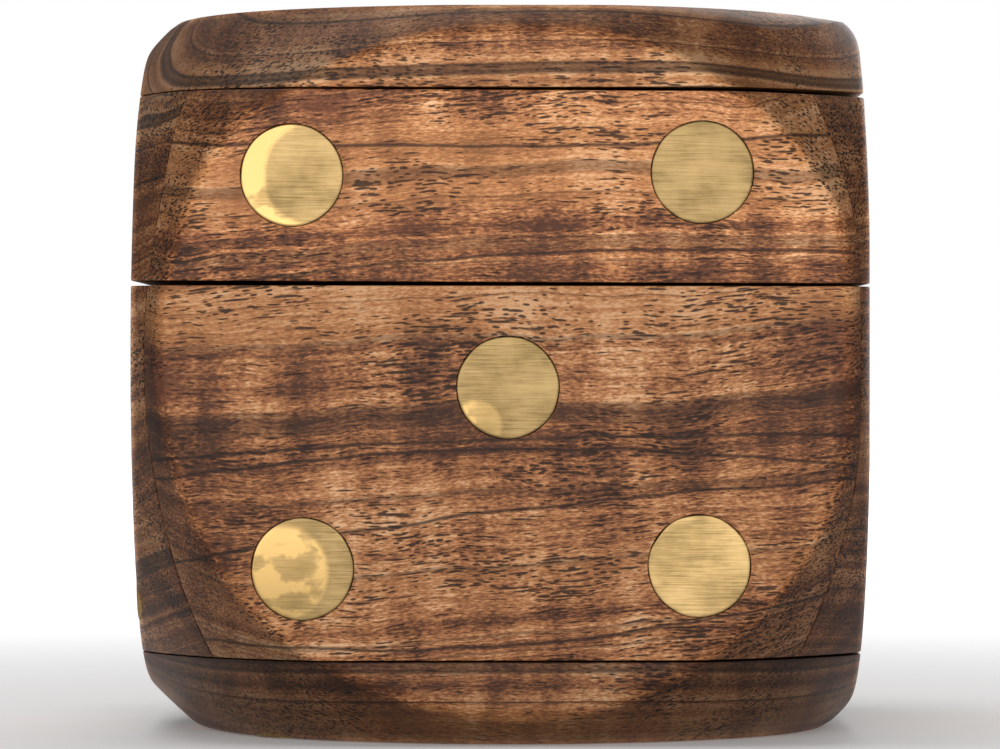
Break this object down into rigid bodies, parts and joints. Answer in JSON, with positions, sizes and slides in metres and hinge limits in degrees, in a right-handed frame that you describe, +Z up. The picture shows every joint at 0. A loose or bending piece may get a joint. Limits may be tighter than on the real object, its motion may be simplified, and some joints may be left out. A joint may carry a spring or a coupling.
{
  "type": "dice box",
  "caption": "Wooden box shaped like a rounded die, inlaid with brass pips, with a hinged lid and small wooden dice inside.",
  "frame": {"origin": "middle of the flat face that the box rests on, under the centre of the cube", "axes": "+Z up, -Y out of the front (the face with five pips), +X to the right seen from the front"},
  "size_m": [0.075, 0.0783, 0.075],
  "materials": {
    "wall_wood": "satin",
    "side_wood": "satin",
    "top_wood": "satin",
    "base_wood": "satin",
    "pip_brass": "satin",
    "hinge_brass": "satin",
    "die_wood": "satin",
    "die_brass": "satin"
  },
  "bodies": {
    "box": {"back_pip_2": "pip_brass", "base_board": "base_wood", "base_pip_1": "pip_brass", "base_pip_2": "pip_brass", "base_pip_3": "pip_brass", "base_pip_4": "pip_brass", "base_pip_5": "pip_brass", "base_pip_6": "pip_brass", "body_back_wall": "wall_wood", "body_front_wall": "wall_wood", "body_hinge_screws": "hinge_brass", "body_left_wall": "side_wood", "body_right_wall": "side_wood", "front_pip_3": "pip_brass", "front_pip_4": "pip_brass", "front_pip_5": "pip_brass", "left_hinge_body_leaf": "hinge_brass", "left_hinge_pin": "hinge_brass", "left_pip_2": "pip_brass", "left_pip_3": "pip_brass", "right_hinge_body_leaf": "hinge_brass", "right_hinge_pin": "hinge_brass", "right_pip_3": "pip_brass", "right_pip_4": "pip_brass"},
    "lid": {"back_pip_1": "pip_brass", "front_pip_1": "pip_brass", "front_pip_2": "pip_brass", "left_hinge_lid_leaf": "hinge_brass", "left_pip_1": "pip_brass", "lid_back_wall": "wall_wood", "lid_front_wall": "wall_wood", "lid_hinge_screws": "hinge_brass", "lid_left_wall": "side_wood", "lid_right_wall": "side_wood", "lid_top_board": "top_wood", "right_hinge_lid_leaf": "hinge_brass", "right_pip_1": "pip_brass", "right_pip_2": "pip_brass", "top_pip_1": "pip_brass"},
    "die_1": {"die_1": "die_wood", "die_1_pips": "die_brass"},
    "die_2": {"die_2": "die_wood", "die_2_pips": "die_brass"},
    "die_3": {"die_3": "die_wood", "die_3_pips": "die_brass"},
    "die_4": {"die_4": "die_wood", "die_4_pips": "die_brass"},
    "die_5": {"die_5": "die_wood", "die_5_pips": "die_brass"}
  },
  "joints": [
    {"name": "lid_hinge", "type": "hinge", "parent": "box", "child": "lid", "pos_m": [0, 0.03925, 0.04665], "axis": [-1, 0, 0], "range_deg": [0, 180]},
    {"name": "die_1_lift", "type": "slide", "parent": "box", "child": "die_1", "axis": [0, 0, 1], "range_m": [0, 0.03]},
    {"name": "die_2_lift", "type": "slide", "parent": "box", "child": "die_2", "axis": [0, 0, 1], "range_m": [0, 0.03]},
    {"name": "die_3_lift", "type": "slide", "parent": "box", "child": "die_3", "axis": [0, 0, 1], "range_m": [0, 0.03]},
    {"name": "die_4_lift", "type": "slide", "parent": "box", "child": "die_4", "axis": [0, 0, 1], "range_m": [0, 0.03]},
    {"name": "die_5_lift", "type": "slide", "parent": "box", "child": "die_5", "axis": [0, 0, 1], "range_m": [0, 0.03]}
  ]
}
